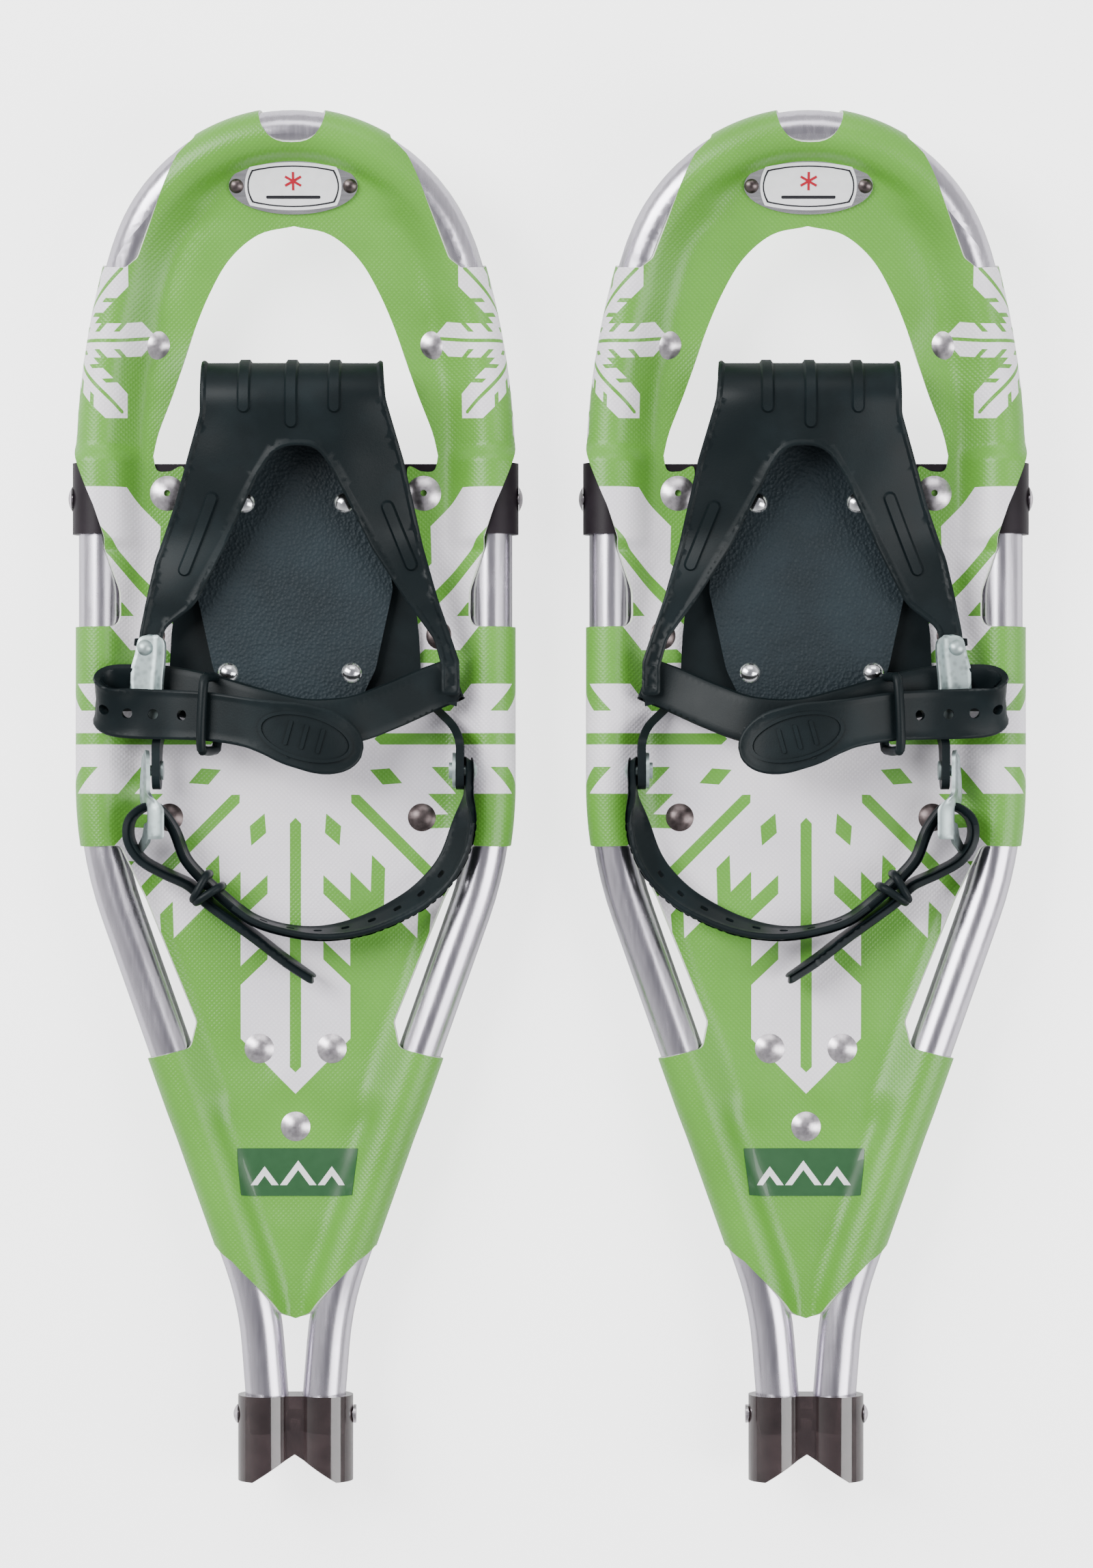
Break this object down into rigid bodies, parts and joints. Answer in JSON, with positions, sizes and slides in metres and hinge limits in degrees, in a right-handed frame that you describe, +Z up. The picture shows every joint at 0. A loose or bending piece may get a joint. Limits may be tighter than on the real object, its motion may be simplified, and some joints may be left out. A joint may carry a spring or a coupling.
{
  "type": "snowshoes",
  "caption": "Pair of youth snowshoes with bent aluminium tube frames, printed coated-fabric decks, hinged rubber bindings and steel crampons.",
  "frame": {"origin": "middle of the pair's overall box, at the height of the lowest crampon teeth", "axes": "+X from the left shoe to the right shoe, +Y towards the toes, +Z up out of the deck"},
  "size_m": [0.3592, 0.5064, 0.059],
  "materials": {
    "tube": "satin",
    "deck_fabric": "satin coated weave",
    "smoked_plastic": "gloss smoked",
    "strap_rubber": "satin",
    "binding_rubber": "satin moulded",
    "pad_rubber": "grained",
    "rivet_metal": "brushed",
    "dark_metal": "satin dark",
    "zinc": "zinc plated",
    "stainless": "brushed",
    "white_panel": "gloss"
  },
  "bodies": {
    "left_frame": {"left_frame_tube": "tube", "left_tail_cap": "smoked_plastic", "left_tail_cap_rivet": "rivet_metal", "left_deck": "deck_fabric", "left_deck_rivets": "rivet_metal", "left_badge_plate": "rivet_metal", "left_badge_panel": "white_panel", "left_badge_rivets": "dark_metal", "left_hinge_strap_ends": "strap_rubber", "left_strap_tube_rivets": "rivet_metal", "left_strap_deck_rivets": "rivet_metal", "left_heel_cleats": "stainless", "left_heel_cleat_rivets": "dark_metal"},
    "left_binding": {"left_hinge_strap_centre": "strap_rubber", "left_crampon": "stainless", "left_binding_base": "binding_rubber", "left_foot_pad": "pad_rubber", "left_foot_pad_rivets": "rivet_metal", "left_toe_harness": "binding_rubber", "left_instep_strap": "binding_rubber", "left_instep_buckle_rivet": "rivet_metal", "left_heel_strap_rivet": "rivet_metal", "left_heel_strap_washer": "zinc", "left_heel_buckle_rivet": "rivet_metal"},
    "left_heel_strap": {"left_heel_strap": "binding_rubber", "left_heel_buckle": "zinc"},
    "left_instep_buckle": {"left_instep_buckle": "zinc"},
    "left_instep_keeper": {"left_instep_keeper": "binding_rubber"},
    "left_heel_keeper": {"left_heel_keeper": "binding_rubber"},
    "right_frame": {"right_frame_tube": "tube", "right_tail_cap": "smoked_plastic", "right_tail_cap_rivet": "rivet_metal", "right_deck": "deck_fabric", "right_deck_rivets": "rivet_metal", "right_badge_plate": "rivet_metal", "right_badge_panel": "white_panel", "right_badge_rivets": "dark_metal", "right_hinge_strap_ends": "strap_rubber", "right_strap_tube_rivets": "rivet_metal", "right_strap_deck_rivets": "rivet_metal", "right_heel_cleats": "stainless", "right_heel_cleat_rivets": "dark_metal"},
    "right_binding": {"right_hinge_strap_centre": "strap_rubber", "right_crampon": "stainless", "right_binding_base": "binding_rubber", "right_foot_pad": "pad_rubber", "right_foot_pad_rivets": "rivet_metal", "right_toe_harness": "binding_rubber", "right_instep_strap": "binding_rubber", "right_instep_buckle_rivet": "rivet_metal", "right_heel_strap_rivet": "rivet_metal", "right_heel_strap_washer": "zinc", "right_heel_buckle_rivet": "rivet_metal"},
    "right_heel_strap": {"right_heel_strap": "binding_rubber", "right_heel_buckle": "zinc"},
    "right_instep_buckle": {"right_instep_buckle": "zinc"},
    "right_instep_keeper": {"right_instep_keeper": "binding_rubber"},
    "right_heel_keeper": {"right_heel_keeper": "binding_rubber"}
  },
  "joints": [
    {"name": "left_toe_hinge", "type": "hinge", "parent": "left_frame", "child": "left_binding", "pos_m": [-0.095, 0.11147, 0.02405], "axis": [-1, 0, 0], "range_deg": [0, 60], "stiffness_Nm_per_rad": 0.02},
    {"name": "left_heel_strap_swing", "type": "hinge", "parent": "left_binding", "child": "left_heel_strap", "pos_m": [-0.095, 0.01047, 0.039], "axis": [-1, 0, 0], "range_deg": [0, 90]},
    {"name": "left_instep_buckle_pivot", "type": "hinge", "parent": "left_binding", "child": "left_instep_buckle", "pos_m": [-0.1495, 0.05567, 0.0435], "axis": [0, 0, 1], "range_deg": [-6, 6]},
    {"name": "left_instep_keeper_slide", "type": "slide", "parent": "left_binding", "child": "left_instep_keeper", "axis": [0.9424, 0, 0.3346], "range_m": [-0.003, 0.003]},
    {"name": "left_heel_keeper_slide", "type": "slide", "parent": "left_heel_strap", "child": "left_heel_keeper", "axis": [-0.7314, 0.682, 0], "range_m": [-0.0015, 0.0015]},
    {"name": "right_toe_hinge", "type": "hinge", "parent": "right_frame", "child": "right_binding", "pos_m": [0.095, 0.11147, 0.02405], "axis": [-1, 0, 0], "range_deg": [0, 60], "stiffness_Nm_per_rad": 0.02},
    {"name": "right_heel_strap_swing", "type": "hinge", "parent": "right_binding", "child": "right_heel_strap", "pos_m": [0.095, 0.01047, 0.039], "axis": [-1, 0, 0], "range_deg": [0, 90]},
    {"name": "right_instep_buckle_pivot", "type": "hinge", "parent": "right_binding", "child": "right_instep_buckle", "pos_m": [0.1495, 0.05567, 0.0435], "axis": [0, 0, 1], "range_deg": [-6, 6]},
    {"name": "right_instep_keeper_slide", "type": "slide", "parent": "right_binding", "child": "right_instep_keeper", "axis": [-0.9424, 0, 0.3346], "range_m": [-0.003, 0.003]},
    {"name": "right_heel_keeper_slide", "type": "slide", "parent": "right_heel_strap", "child": "right_heel_keeper", "axis": [0.7314, 0.682, 0], "range_m": [-0.0015, 0.0015]},
    {"name": "shoes_apart", "type": "slide", "parent": "left_frame", "child": "right_frame", "axis": [1, 0, 0], "range_m": [0, 0.05]}
  ]
}
